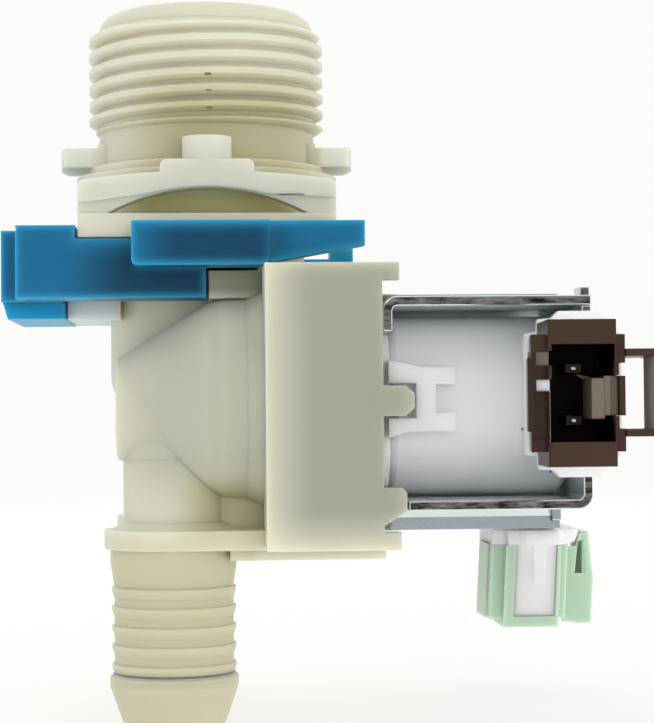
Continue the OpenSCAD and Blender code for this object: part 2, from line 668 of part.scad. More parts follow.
// Outline of a tongue, grown by g for its window
module tongue_outline(g) polygon([[tongue_x + cap_lean - g, cap_in - 0.5], [tongue_x - g, tongue_end + g],
    [tongue_x + tongue_w + g, tongue_end + g], [tongue_x + tongue_w + cap_lean + g, cap_in - 0.5]]);
module fork() xz_extrude(-case_r - 3.05, -case_r + 1.5) difference() {
    polygon([[coil_x, 4.6], [coil_x + 2.8, 3.9], [coil_x + 6.4, 3.8], [coil_x + 6.4, -2.6],
        [coil_x + 1.6, -2.6], [coil_x, -3.2]]);
    translate([coil_x - 1, -1.25]) square([tongue_len + 0.3, 3.5]);
    translate([coil_x + 4.4, -0.7]) square([3, 2.8]);
}
module terminals() color("silver") for (s = [-1, 1])
    translate([blade_x, 0, plug_z + blade_z + s * blade_pitch / 2])
    dbox(-blade_w / 2, blade_w / 2, blade_in, blade_out, -blade_t / 2, blade_t / 2);

// Plug cap: leaning box with a floor, two U-shaped blocks and the latch loop
module leaning(x, w, d, z0, z1) plan(z0, z1)
    polygon([[x + cap_lean, cap_in], [x, d], [x + w, d], [x + w + cap_lean, cap_in]]);
module connector(tone) color(tone) translate([0, 0, plug_z]) difference() {
    union() {
        difference() {
            union() {
                leaning(cap_x, cap_w, cap_out, -cap_h / 2, cap_h / 2);
                leaning(cap_x - 0.3, 2, cap_out, -3.6, 3.4);
                leaning(block_left, cap_block_w, mouth_out, -cap_tall / 2, cap_tall / 2);
            }
            dbox(cavity_x, cavity_x + cavity_w, floor_d, mouth_out + 1, -cavity_h / 2, cavity_h / 2);
        }
        // Stepped rib on the cavity's right side
        dbox(cavity_x + cavity_w - 1.5, cavity_x + cavity_w + 0.1, floor_d - e, cap_out - 5, -2.5, 1.3);
        dbox(cavity_x + cavity_w - 0.8, cavity_x + cavity_w + 0.1, floor_d - e, cap_out - 0.6, -2.1, 1.6);
        latch();
    }
    for (s = [-1, 1]) {
        mirror([0, 0, s < 0 ? 1 : 0]) plan(cap_h / 2, cap_tall / 2 + 1) tongue_outline(fit);
        translate([blade_x, 0, blade_z + s * blade_pitch / 2])
            dbox(-blade_w / 2 - fit, blade_w / 2 + fit, cap_in - 1, floor_d + 1,
                -blade_t / 2 - fit, blade_t / 2 + fit);
    }
    // Slots and sunken panel in the left wall, notches beside the latch
    dbox(cap_x + 0.5, cavity_x - 0.25, cap_out - 5, cap_out + 1, 2.6, 4.0);
    dbox(cap_x + 0.5, cavity_x - 0.25, cap_in - 1, cap_out + 1, 0.2, 1.3);
    dbox(cap_x + 0.3, cavity_x - 0.25, cap_out - 0.4, cap_out + 1, -4.4, 0.1);
    for (z = [1.6, -3.4])
        dbox(cap_x + cap_w - 0.6, cap_x + cap_w + cap_lean + 0.1, cap_in - 1, cap_out + 1, z, z + 1.25);
}
module latch() {
    x0 = cap_x + cap_w;
    x1 = x0 + latch_w;
    side = [[x0 - e, cap_in + 0.4], [x0 + 1.7, cap_in + 0.4], [x0 + 2.1, cap_in - 1],
        [x1 - 0.2, cap_in - 1.3], [x1 + 0.3, cap_in + 4.1], [x1, mouth_out - 0.1],
        [x0 - e, mouth_out - 0.3]];
    pane = [[x0 + 1.9, cap_in - 0.2], [x0 + 2.6, cap_in - 0.4], [x0 + 2.8, cap_in + 3.6],
        [x0 + 1.5, cap_in + 3.6]];
    for (z = [3.45, -4.15]) plan(z, z + 0.7) difference() {
        polygon(side);
        polygon(pane);
    }
    plan(-4, 4) polygon([[x0 + 2.5, cap_in - 1.25], [x1 - 0.2, cap_in - 1.3], [x1 + 0.3, cap_in + 4.1],
        [x1, mouth_out - 0.1], [x0 + 1.5, mouth_out - 0.1], [x0 + 1.5, cap_in + 4.6],
        [x0 + 2.4, cap_in + 3.6]]);
}

// Flat profile of a plate bent once, with a rounded outside and inside
module bent(x0, x1, z0, z1, at_left) {
    in_r = max(bend_r - sheet_t, 0.2);
    difference() {
        translate([x0, z0]) square([x1 - x0, z1 - z0]);
        if (at_left) {
            translate([x0 + sheet_t + in_r, z0 - 1]) square([x1 - x0, z1 - z0 - sheet_t + 1]);
            translate([x0 + sheet_t, z0 - 1]) square([x1 - x0, z1 - z0 - sheet_t - in_r + 1]);
            translate([x0 + sheet_t + in_r, z1 - sheet_t - in_r]) circle(in_r);
            corner(x0, z1, 1, -1);
        } else {
            translate([x0 - 1, z0 + sheet_t]) square([x1 - x0 - sheet_t - in_r + 1, z1 - z0]);
            translate([x0 - 1, z0 + sheet_t + in_r]) square([x1 - x0 - sheet_t + 1, z1 - z0]);
            translate([x1 - sheet_t - in_r, z0 + sheet_t + in_r]) circle(in_r);
            corner(x1, z0, -1, 1);
        }
    }
}
// Sharp outer corner to take off at (x, z), with the round's centre inwards
module corner(x, z, sx, sz) difference() {
    translate([x + (sx < 0 ? -bend_r : -1), z + (sz < 0 ? -bend_r : -1)]) square(bend_r + 1);
    translate([x + sx * bend_r, z + sz * bend_r]) circle(bend_r);
    translate([x + (sx < 0 ? -bend_r * 3 : bend_r), z - bend_r * 3]) square([bend_r * 2, bend_r * 6]);
}

stake_w = 3.3;
function stake_y(s) = s < 0 ? 0.9 - yoke_w / 2 : yoke_w / 2 - 0.9 - stake_w;
module yoke_a() color("lightslategray") difference() {
    xz_extrude(-yoke_w / 2, yoke_w / 2) bent(yoke_x, yoke_end, fit - yoke_bottom + sheet_t, yoke_top, true);
    xcyl(sleeve_out + fit, yoke_x - 1, coil_x + 1);
    // Narrow middle of the leg, where the body's tongues pass
    for (s = [-1, 1]) {
        box(yoke_x - 1, coil_x + 0.5, s < 0 ? -half - 1 : 10.2, s < 0 ? -10.2 : half + 1,
            -6.8, yoke_top - 3.8);
        box(yoke_x - 1, coil_x + 0.5, s < 0 ? -half - 1 : half - hook_t - 0.25,
            s < 0 ? -half + hook_t + 0.25 : half + 1, -yoke_bottom - 1, -6);
        box(leg_x - fit, yoke_end + 1, stake_y(s) - fit, stake_y(s) + stake_w + fit,
            yoke_top - sheet_t - 1, yoke_top + 1);
    }
}
module yoke_b() color("lightslategray") difference() {
    union() {
        xz_extrude(-yoke_w / 2, yoke_w / 2)
            bent(coil_x + fit, yoke_end, -yoke_bottom, yoke_top - sheet_t - fit, false);
        for (s = [-1, 1]) box(leg_x, yoke_end, stake_y(s), stake_y(s) + stake_w, 0, yoke_top + stake_h);
    }
    for (s = [-1, 1]) box(coil_x - 1, face_x + 2.5, s < 0 ? -half - 1 : half - hook_t - 0.25,
        s < 0 ? -half + hook_t + 0.25 : half + 1, -yoke_bottom - 1, 0);
    xcyl(3, leg_x - 1, yoke_end + 1);
}

valve_body();
lock_slide();
inlet_strainer();
regulator_seat();
flow_regulator();
at_unit(0) diaphragm();  // front_diaphragm
at_unit(0) diaphragm_insert();  // front_diaphragm_insert
at_unit(0) bonnet();  // front_bonnet
at_unit(0) plunger();  // front_plunger
at_unit(0) plunger_seal();  // front_plunger_seal
at_unit(0) spring();  // front_spring
at_unit(0) flux_sleeve();  // front_flux_sleeve
at_unit(0) bobbin();  // front_bobbin
at_unit(0) winding();  // front_winding
at_unit(0) coil_case();  // front_coil_case
at_unit(0) terminals();  // front_terminals
at_unit(0) connector("saddlebrown");  // front_connector
at_unit(0) yoke_a();  // front_yoke_a
at_unit(0) yoke_b();  // front_yoke_b
at_unit(1) diaphragm();  // rear_diaphragm
at_unit(1) diaphragm_insert();  // rear_diaphragm_insert
at_unit(1) bonnet();  // rear_bonnet
at_unit(1) plunger();  // rear_plunger
at_unit(1) plunger_seal();  // rear_plunger_seal
at_unit(1) spring();  // rear_spring
at_unit(1) flux_sleeve();  // rear_flux_sleeve
at_unit(1) bobbin();  // rear_bobbin
at_unit(1) winding();  // rear_winding
at_unit(1) coil_case();  // rear_coil_case
at_unit(1) terminals();  // rear_terminals
at_unit(1) connector("darkseagreen");  // rear_connector
at_unit(1) yoke_a();  // rear_yoke_a
at_unit(1) yoke_b();  // rear_yoke_b
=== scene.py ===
import bpy
import json
import math
from mathutils import Matrix, Vector

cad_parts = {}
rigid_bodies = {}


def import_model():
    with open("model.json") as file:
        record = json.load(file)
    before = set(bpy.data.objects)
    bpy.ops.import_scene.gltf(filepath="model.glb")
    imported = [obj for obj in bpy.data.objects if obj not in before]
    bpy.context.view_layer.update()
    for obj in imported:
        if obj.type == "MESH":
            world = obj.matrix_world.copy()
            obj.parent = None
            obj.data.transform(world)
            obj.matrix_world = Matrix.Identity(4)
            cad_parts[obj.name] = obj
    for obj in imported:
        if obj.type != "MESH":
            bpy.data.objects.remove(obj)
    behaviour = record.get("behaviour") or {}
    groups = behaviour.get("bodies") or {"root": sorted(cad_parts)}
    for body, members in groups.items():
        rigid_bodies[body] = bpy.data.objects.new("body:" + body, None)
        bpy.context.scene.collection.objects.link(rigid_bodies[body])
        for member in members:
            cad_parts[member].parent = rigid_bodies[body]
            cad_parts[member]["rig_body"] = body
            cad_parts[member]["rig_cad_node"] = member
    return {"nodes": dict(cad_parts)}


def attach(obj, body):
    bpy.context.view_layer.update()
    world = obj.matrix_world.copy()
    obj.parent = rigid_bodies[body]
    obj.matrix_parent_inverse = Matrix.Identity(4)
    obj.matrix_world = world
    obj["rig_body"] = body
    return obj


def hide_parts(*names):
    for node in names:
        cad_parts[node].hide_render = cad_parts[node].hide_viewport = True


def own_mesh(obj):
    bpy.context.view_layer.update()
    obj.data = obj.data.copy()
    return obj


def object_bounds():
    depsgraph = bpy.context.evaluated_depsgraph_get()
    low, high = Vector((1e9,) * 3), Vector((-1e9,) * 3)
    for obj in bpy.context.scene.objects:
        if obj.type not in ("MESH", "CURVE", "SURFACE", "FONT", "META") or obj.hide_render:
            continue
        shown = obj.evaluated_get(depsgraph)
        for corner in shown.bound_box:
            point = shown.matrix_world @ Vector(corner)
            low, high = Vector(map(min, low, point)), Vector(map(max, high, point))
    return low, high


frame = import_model()
cad_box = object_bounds()
MM = 0.001


# Camera at the photograph's place, nearly level, a little right of the barbs

CAMERA_AT = Vector((-0.2, -237.0, -26.6)) * MM
CAMERA_YAW = math.radians(3.28)
CAMERA_PITCH = math.radians(1.46)
CAMERA_ROLL = 0.0095
LENS = 104.6

camera_data = bpy.data.cameras.new("camera")
camera_data.sensor_fit = "VERTICAL"
camera_data.sensor_height = 36
camera_data.lens = LENS
camera_data.clip_start = 0.01
camera = bpy.data.objects.new("camera", camera_data)
bpy.context.scene.collection.objects.link(camera)
camera.matrix_world = (Matrix.Translation(CAMERA_AT)
                       @ Matrix.Rotation(-CAMERA_YAW, 4, "Z")
                       @ Matrix.Rotation(math.pi / 2 + CAMERA_PITCH, 4, "X")
                       @ Matrix.Rotation(-CAMERA_ROLL, 4, "Z"))
bpy.context.scene.camera = camera
bpy.context.scene.view_settings.view_transform = "Standard"


# Studio: white surroundings, brightest behind the part, and soft lamps

def soft_lamp(name, place, aim, size, watts, glossy=True):
    data = bpy.data.lights.new(name, "AREA")
    data.size = size
    data.energy = watts
    lamp = bpy.data.objects.new(name, data)
    bpy.context.scene.collection.objects.link(lamp)
    lamp.location = Vector(place) * MM
    lamp.rotation_euler = (Vector(aim) * MM - lamp.location).to_track_quat("-Z", "Y").to_euler()
    lamp.visible_glossy = glossy


soft_lamp("upper_left_lamp", (-260, -330, 240), (10, 0, -25), 0.30, 0.25)
soft_lamp("front_fill", (60, -340, -10), (20, 0, -25), 0.16, 0.40, glossy=False)
soft_lamp("right_lamp", (380, -120, 40), (10, 0, -25), 0.35, 0.2)
soft_lamp("rear_lamp", (-60, 420, 300), (10, 0, -25), 0.50, 0.4)

world = bpy.data.worlds.new("white_studio")
world.use_nodes = True
sky = world.node_tree
towards = sky.nodes.new("ShaderNodeTexCoord")
parts = sky.nodes.new("ShaderNodeSeparateXYZ")
falloff = sky.nodes.new("ShaderNodeMapRange")
falloff.interpolation_type = "SMOOTHSTEP"
falloff.inputs["From Min"].default_value = -0.9
falloff.inputs["From Max"].default_value = 0.75
falloff.inputs["To Min"].default_value = 0.56
falloff.inputs["To Max"].default_value = 0.965
sky.links.new(towards.outputs["Generated"], parts.inputs["Vector"])
sky.links.new(parts.outputs["Y"], falloff.inputs["Value"])
sky.links.new(falloff.outputs["Result"], sky.nodes["Background"].inputs["Strength"])
sky.nodes["Background"].inputs["Color"].default_value = (1.0, 1.0, 0.985, 1)
bpy.context.scene.world = world


# Materials

def new_material(name):
    made = bpy.data.materials.new(name)
    made.use_nodes = True
    return made, made.node_tree.nodes, made.node_tree.links, made.node_tree.nodes["Principled BSDF"]


def colour_ramp(nodes, low, high, start=0.3, end=0.7):
    ramp = nodes.new("ShaderNodeValToRGB")
    ramp.color_ramp.elements[0].position = start
    ramp.color_ramp.elements[0].color = (*low, 1)
    ramp.color_ramp.elements[1].position = end
    ramp.color_ramp.elements[1].color = (*high, 1)
    return ramp


def noise(nodes, links, place, scale, detail):
    cloud = nodes.new("ShaderNodeTexNoise")
    cloud.inputs["Scale"].default_value = scale
    cloud.inputs["Detail"].default_value = detail
    links.new(place.outputs["Object"], cloud.inputs["Vector"])
    return cloud


def soft_box(nodes, links, place, middle, half, soft, amount):
    """Gives amount inside a box stated in millimetres, and fades to nothing over the distances soft around it."""
    flow = place.outputs["Object"]
    for step, size in (("SUBTRACT", middle), ("ABSOLUTE", None), ("SUBTRACT", half), ("MAXIMUM", None),
                       ("DIVIDE", soft), ("LENGTH", None)):
        part = nodes.new("ShaderNodeVectorMath")
        part.operation = step
        links.new(flow, part.inputs[0])
        if size:
            part.inputs[1].default_value = Vector(size) * MM
        flow = part.outputs["Value" if step == "LENGTH" else "Vector"]
    fade = nodes.new("ShaderNodeMapRange")
    fade.interpolation_type = "SMOOTHSTEP"
    fade.inputs["To Min"].default_value = amount
    fade.inputs["To Max"].default_value = 0
    links.new(flow, fade.inputs["Value"])
    return fade.outputs["Result"]


def painted_edge_highlight(nodes, links, width):
    """Painted edge highlight: near 1 along outer edges and fading to 0 over width millimetres, standing in for the
    light that comes through thin corners.
    """
    flat = nodes.new("ShaderNodeNewGeometry")
    rounded = nodes.new("ShaderNodeBevel")
    rounded.samples = 8
    rounded.inputs["Radius"].default_value = width * MM
    turn = nodes.new("ShaderNodeVectorMath")
    turn.operation = "DISTANCE"
    thin = nodes.new("ShaderNodeMapRange")
    thin.inputs["From Max"].default_value = 0.9
    links.new(flat.outputs["Normal"], turn.inputs[0])
    links.new(rounded.outputs["Normal"], turn.inputs[1])
    links.new(turn.outputs["Value"], thin.inputs["Value"])
    return thin.outputs["Result"]


def laid_over(nodes, links, under, mask, colour):
    blend = nodes.new("ShaderNodeMix")
    blend.data_type = "RGBA"
    blend.inputs[7].default_value = (*colour, 1)
    links.new(mask, blend.inputs[0])
    links.new(under, blend.inputs[6])
    return blend.outputs[2]


def plastic(name, colour, darker, roughness, bump=0.15, edge=0.0, depth=0.0, tint=(1, 0.9, 0.6), gloss=0.3,
            tones_and_shade=(), edge_highlight_colour=None, edge_width=1.4):
    """Moulded plastic: slow colour drift, fine grain, and light let in by depth millimetres. tones_and_shade are
    boxes of laid-over colour, mostly painted shade and painted light on the translucent walls, and a few small
    marks;
    edge_highlight_colour is a painted highlight along its corners."""
    made, nodes, links, shader = new_material(name)
    place = nodes.new("ShaderNodeTexCoord")
    cloud = noise(nodes, links, place, 90, 3)
    ramp = colour_ramp(nodes, darker, colour)
    fine = noise(nodes, links, place, 900, 4)
    dents = nodes.new("ShaderNodeBump")
    dents.inputs["Strength"].default_value = bump
    dents.inputs["Distance"].default_value = 0.0001
    spread = nodes.new("ShaderNodeMapRange")
    spread.inputs["To Min"].default_value = roughness - 0.05
    spread.inputs["To Max"].default_value = roughness + 0.08
    links.new(cloud.outputs["Fac"], ramp.inputs["Fac"])
    flow = ramp.outputs["Color"]
    # painted shade and painted light laid over, box by box
    for middle, half, soft, shade, amount in tones_and_shade:
        flow = laid_over(nodes, links, flow, soft_box(nodes, links, place, middle, half, soft, amount), shade)
    # painted highlight along the corners
    if edge_highlight_colour:
        flow = laid_over(nodes, links, flow, painted_edge_highlight(nodes, links, edge_width), edge_highlight_colour)
    links.new(flow, shader.inputs["Base Color"])
    links.new(fine.outputs["Fac"], dents.inputs["Height"])
    if edge:
        soft_edge = nodes.new("ShaderNodeBevel")
        soft_edge.samples = 4
        soft_edge.inputs["Radius"].default_value = edge * MM
        links.new(soft_edge.outputs["Normal"], dents.inputs["Normal"])
    links.new(dents.outputs["Normal"], shader.inputs["Normal"])
    links.new(cloud.outputs["Fac"], spread.inputs["Value"])
    links.new(spread.outputs["Result"], shader.inputs["Roughness"])
    shader.inputs["Specular IOR Level"].default_value = gloss
    if depth:
        shader.inputs["Subsurface Weight"].default_value = 1.0
        shader.inputs["Subsurface Radius"].default_value = tint
        shader.inputs["Subsurface Scale"].default_value = depth * MM
    return made


def metal(name, colour, darker, roughness, scale=260, bump=0.2, stretch=1.0, low=0.35, high=0.65):
    """Bare or plated metal with streaks in its colour and its gloss. stretch draws the streaks out along X."""
    made, nodes, links, shader = new_material(name)
    place = nodes.new("ShaderNodeTexCoord")
    drawn = nodes.new("ShaderNodeMapping")
    drawn.inputs["Scale"].default_value = (1 / stretch, 1, 1)
    streaks = nodes.new("ShaderNodeTexNoise")
    streaks.inputs["Scale"].default_value = scale
    streaks.inputs["Detail"].default_value = 6
    streaks.inputs["Roughness"].default_value = 0.7
    ramp = colour_ramp(nodes, darker, colour, low, high)
    spread = nodes.new("ShaderNodeMapRange")
    spread.inputs["To Min"].default_value = roughness - 0.08
    spread.inputs["To Max"].default_value = roughness + 0.12
    dents = nodes.new("ShaderNodeBump")
    dents.inputs["Strength"].default_value = bump
    dents.inputs["Distance"].default_value = 0.0001
    shader.inputs["Metallic"].default_value = 1.0
    links.new(place.outputs["Object"], drawn.inputs["Vector"])
    links.new(drawn.outputs["Vector"], streaks.inputs["Vector"])
    links.new(streaks.outputs["Fac"], ramp.inputs["Fac"])
    links.new(ramp.outputs["Color"], shader.inputs["Base Color"])
    links.new(streaks.outputs["Fac"], spread.inputs["Value"])
    links.new(spread.outputs["Result"], shader.inputs["Roughness"])
    links.new(streaks.outputs["Fac"], dents.inputs["Height"])
    links.new(dents.outputs["Normal"], shader.inputs["Normal"])
    return made


# Tones of the natural nylon, mostly painted shade and light: painted shade over the thick block and the cone,
# painted olive shade on the neck and at the elbow's foot, painted shade in the hollow and the slit under the arm,
# a painted shadow under the blue slide, painted light through the thin wings and a painted bluish light beside the
# blue slide's left lug. The arm, the pad and the knob are paler, the barbs darker and more olive, and three small
# marks sit on the parting line of the thread

NYLON_TONES_AND_SHADE = (
    # painted shade over the thick block, where less light comes through
    ((14.2, 0, -24.5), (3.5, 40, 11.0), (7, 6, 6), (0.375, 0.39, 0.315), 1.0),
    # painted shade over the thick cone of the elbow
    ((1.0, -16, -25), (5.0, 10, 5), (9, 6, 8), (0.47, 0.475, 0.39), 0.9),
    # painted olive shade on the neck towards its foot
    ((2.5, 0, 3.2), (5, 14.6, 2.2), (9, 0.8, 8), (0.46, 0.43, 0.26), 0.9),
    ((0, -17.5, -1.0), (16, 3.4, 3.0), (1.5, 1.2, 2.5), (0.63, 0.645, 0.56), 0.8),
    # painted shade in the hollow under the arm
    ((0.5, -13.5, -4.5), (6.5, 3.3, 1.2), (6, 0.5, 1.2), (0.41, 0.39, 0.17), 0.9),
    # painted shadow under the blue slide
    ((2.6, -14, -12.2), (3.0, 4, 1.0), (3, 2, 1.6), (0.13, 0.13, 0.09), 0.75),
    # painted olive shade at the elbow's foot
    ((2.5, -20, -36.2), (2.5, 8, 1.5), (5, 3, 3), (0.48, 0.45, 0.26), 0.5),
    # painted bluish light on the nylon beside the blue slide's left lug
    ((-12.6, 0, -14.6), (2.4, 8, 1.4), (0.6, 2, 0.4), (0.66, 0.73, 0.80), 0.8),
    # painted light through the thin wings, one on each side
    ((15.0, 0, 2.2), (2.0, 6, 1.2), (0.8, 2, 1), (0.72, 0.745, 0.66), 0.9),
    ((-15.0, 0, 2.2), (2.0, 6, 1.2), (0.8, 2, 1), (0.72, 0.745, 0.66), 0.9),
    ((-3.8, 0, -50), (8, 26, 8), (1, 1, 4), (0.57, 0.54, 0.37), 0.9),
    # painted shade in the slit under the arm
    ((8.8, -18.2, -3.52), (1.2, 0.8, 0.01), (0.4, 0.5, 0.07), (0.10, 0.10, 0.07), 0.95),
    ((0.17, -12.6, 10.01), (0.25, 1, 0.03), (0.25, 1, 0.14), (0.12, 0.11, 0.07), 0.9),
    ((0.23, -12.6, 8.25), (0.22, 1, 0.03), (0.22, 1, 0.13), (0.18, 0.17, 0.10), 0.8),
    ((0.29, -12.6, 6.42), (0.25, 1, 0.03), (0.22, 1, 0.13), (0.18, 0.17, 0.10), 0.8),
)
BLUE_PAINTED_LIGHT_AND_SHADE = (
    # painted shade where the blue slide lies in front of the nylon body
    ((1.0, -23, -9.2), (3.5, 1.5, 0.8), (6, 2, 2.2), (0.003, 0.060, 0.125), 0.95),
    ((-3.5, -17, -12.0), (4.5, 3, 1.2), (8, 3, 3.2), (0.003, 0.055, 0.110), 0.95),
    # painted backlight: the left lug lighter where light comes through it
    ((-17.5, -4, -15.4), (4, 14, 0.7), (2, 3, 0.8), (0.010, 0.36, 0.62), 0.9),
    # painted backlight on the right lug
    ((15.5, 0, -8.5), (3, 12, 2), (1, 2, 1), (0.02, 0.30, 0.50), 0.9),
)
COIL_TONES = tuple((middle, (0.05, 0.5, 0.05), (0.16, 0.5, 0.16), (0.10, 0.10, 0.10), 0.9)
                  for middle in ((21.31, -25.3, -25.17), (31.76, -24.5, -28.21), (35.02, -22, -32.64),
                                 (39.18, -30, -32.42))) + (
    ((22.0, -28.8, -25.0), (6.0, 0.8, 6.0), (1.0, 1.2, 1.0), (0.74, 0.75, 0.77), 1.0),)

nylon = plastic("natural_nylon", (0.71, 0.695, 0.57), (0.67, 0.655, 0.53), 0.42, depth=2.4,
                tint=(1.0, 0.95, 0.75), tones_and_shade=NYLON_TONES_AND_SHADE)
blue = plastic("blue_nylon", (0.010, 0.182, 0.350), (0.008, 0.160, 0.315), 0.36, depth=2.0, edge=0.2,
               tint=(0.3, 0.9, 1.0), gloss=0.2, tones_and_shade=BLUE_PAINTED_LIGHT_AND_SHADE, edge_highlight_colour=(0.03, 0.30, 0.50))
white = plastic("white_coil_resin", (0.94, 0.95, 0.97), (0.91, 0.92, 0.95), 0.45, depth=2.0, tint=(1, 1, 1),
                tones_and_shade=COIL_TONES)
natural = plastic("natural_inner_plastic", (0.75, 0.72, 0.62), (0.68, 0.65, 0.55), 0.5)
brown = plastic("brown_plug_plastic", (0.052, 0.025, 0.014), (0.040, 0.019, 0.010), 0.3, edge=0.15, gloss=0.2)
# near-black brown: painted shade for the inside of the plug's cavity
cavity_shade_brown = plastic("brown_plug_inside_painted_shade", (0.005, 0.0025, 0.002), (0.003, 0.0015, 0.0015), 0.6, gloss=0.08)
taupe = plastic("taupe_plug_tab", (0.165, 0.134, 0.104), (0.148, 0.118, 0.09), 0.45, edge=0.1)
# a darker copy of the taupe: painted shade
shaded_taupe = plastic("taupe_plug_tab_painted_shade", (0.108, 0.083, 0.062), (0.096, 0.073, 0.054), 0.45, edge=0.1)
green = plastic("pale_green_plug_plastic", (0.55, 0.70, 0.56), (0.51, 0.66, 0.52), 0.4, depth=1.2, edge=0.15,
                tint=(0.7, 1.0, 0.7), edge_highlight_colour=(0.62, 0.80, 0.62), edge_width=0.8)
rubber = plastic("black_rubber", (0.02, 0.02, 0.02), (0.012, 0.012, 0.012), 0.7)
zinc = metal("zinc_plated_sheet", (0.42, 0.48, 0.50), (0.34, 0.395, 0.415), 0.25, stretch=3)
# a brighter copy of the plating, for the painted reflection of the white coil
coil_reflection_zinc = metal("zinc_plated_front_sheet", (0.74, 0.80, 0.80), (0.62, 0.68, 0.68), 0.28, stretch=3)
# darker brown: painted shade on the plug's sunken left panel
shade_brown = plastic("brown_plug_left_panel_painted_shade", (0.032, 0.015, 0.009), (0.025, 0.012, 0.007), 0.3, gloss=0.2)
# a lighter copy of the taupe: painted light
latch_face_light = plastic("taupe_latch_face_painted_light", (0.40, 0.335, 0.30), (0.36, 0.30, 0.27), 0.4)
# a brighter copy of the plating, for painted highlights on the burrs and on the leaned strip
highlight_plating = metal("plating_painted_highlight", (0.86, 0.90, 0.90), (0.78, 0.82, 0.82), 0.18, stretch=4)
sheared = metal("sheared_steel_edge", (0.30, 0.29, 0.285), (0.02, 0.019, 0.018), 0.38, 1600, 0.8, 4, 0.38, 0.62)
bright = metal("bright_steel", (0.70, 0.70, 0.70), (0.6, 0.6, 0.6), 0.25)
shaded_contact_metal = metal("tinned_contact_in_shadow", (0.045, 0.043, 0.04), (0.03, 0.028, 0.026), 0.5)
copper = metal("enamelled_copper", (0.62, 0.28, 0.12), (0.5, 0.2, 0.08), 0.35)


# Working on copies of the solids

def select_only(piece):
    bpy.ops.object.select_all(action="DESELECT")
    piece.select_set(True)
    bpy.context.view_layer.objects.active = piece


def copy_of(node, name, finish):
    """A merged copy of a solid, free of its body, to shape further."""
    select_only(frame["nodes"][node])
    bpy.ops.object.duplicate()
    piece = bpy.context.object
    piece.name = name
    piece.parent = None
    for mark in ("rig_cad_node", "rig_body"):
        del piece[mark]
    piece.data.materials.clear()
    piece.data.materials.append(finish)
    bpy.ops.mesh.customdata_custom_splitnormals_clear()
    bpy.ops.object.mode_set(mode="EDIT")
    bpy.ops.mesh.select_all(action="SELECT")
    bpy.ops.mesh.remove_doubles(threshold=0.000002)
    bpy.ops.object.mode_set(mode="OBJECT")
    return piece


def settle(piece, angle=18):
    """Puts a finished piece's place into its mesh and smooths what is round."""
    select_only(piece)
    bpy.ops.object.transform_apply(location=True, rotation=True, scale=True)
    bpy.ops.object.shade_smooth_by_angle(angle=math.radians(angle))


def cut(piece, cutter):
    """Takes the cutter out of the piece and throws the cutter away."""
    select_only(piece)
    knife = piece.modifiers.new("cut", "BOOLEAN")
    knife.operation = "DIFFERENCE"
    knife.solver = "EXACT"
    knife.object = cutter
    bpy.ops.object.modifier_apply(modifier=knife.name)
    bpy.data.objects.remove(cutter)


def stand_in(piece, node, body):
    settle(piece)
    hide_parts(node)
    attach(piece, body)


def paint(piece, finish, chosen):
    """Gives the faces that chosen picks, by centre in millimetres and normal, their own finish."""
    piece.data.materials.append(finish)
    last = len(piece.data.materials) - 1
    for face in piece.data.polygons:
        if chosen(face.center / MM, face.normal):
            face.material_index = last


# Inlet thread, cut as a right-handed groove of pitch 1.814

PITCH = 1.814
GROOVE_ROOT = 12.1
GROOVE_AT_RIGHT = 9.943


def helical_cutter(name, turns, start_z):
    """A V profile swept up a helix that starts at the right side at start_z."""
    bpy.ops.object.select_all(action="DESELECT")
    bpy.ops.mesh.primitive_plane_add(size=1, location=(0, 0, 0))
    sweep = bpy.context.object
    sweep.name = name
    corners = ((GROOVE_ROOT, -0.12), (14.0, -1.0), (14.0, 1.0), (GROOVE_ROOT, 0.12))
    order = (0, 1, 3, 2)
    for k in range(4):
        x, z = corners[order[k]]
        sweep.data.vertices[k].co = Vector((x, 0, start_z + z)) * MM
    screw = sweep.modifiers.new("helix", "SCREW")
    screw.axis = "Z"
    screw.angle = math.tau * turns
    screw.screw_offset = PITCH * turns * MM
    screw.steps = int(64 * turns)
    screw.render_steps = screw.steps
    screw.use_merge_vertices = False
    bpy.ops.object.modifier_apply(modifier=screw.name)
    bpy.ops.object.mode_set(mode="EDIT")
    bpy.ops.mesh.select_all(action="SELECT")
    bpy.ops.mesh.remove_doubles(threshold=0.000001)
    bpy.ops.mesh.select_all(action="DESELECT")
    bpy.ops.mesh.select_non_manifold()
    bpy.ops.mesh.edge_face_add()
    bpy.ops.mesh.select_all(action="SELECT")
    bpy.ops.mesh.normals_make_consistent(inside=False)
    bpy.ops.object.mode_set(mode="OBJECT")
    return sweep


def cut_box(name, low, high):
    """A box cutter between two corners, in millimetres."""
    middle = (Vector(low) + Vector(high)) / 2 * MM
    bpy.ops.object.select_all(action="DESELECT")
    bpy.ops.mesh.primitive_cube_add(size=1, location=middle)
    box = bpy.context.object
    box.name = name
    box.scale = (Vector(high) - Vector(low)) * MM
    bpy.ops.object.transform_apply(location=True, rotation=True, scale=True)
    return box


def cut_prism(name, outline, front, back):
    """A cutter with an outline of X, Z points, from front to back along Y, in millimetres."""
    bpy.ops.object.select_all(action="DESELECT")
    bpy.ops.mesh.primitive_circle_add(vertices=len(outline), radius=MM, fill_type="NGON")
    prism = bpy.context.object
    prism.name = name
    for corner, (x, z) in zip(prism.data.vertices, outline):
        corner.co = Vector((x, front, z)) * MM
    bpy.ops.object.mode_set(mode="EDIT")
    bpy.ops.mesh.select_all(action="SELECT")
    bpy.ops.mesh.extrude_region_move(TRANSFORM_OT_translate={"value": (0, (back - front) * MM, 0)})
    bpy.ops.mesh.select_all(action="SELECT")
    bpy.ops.mesh.normals_make_consistent(inside=False)
    bpy.ops.object.mode_set(mode="OBJECT")
    return prism


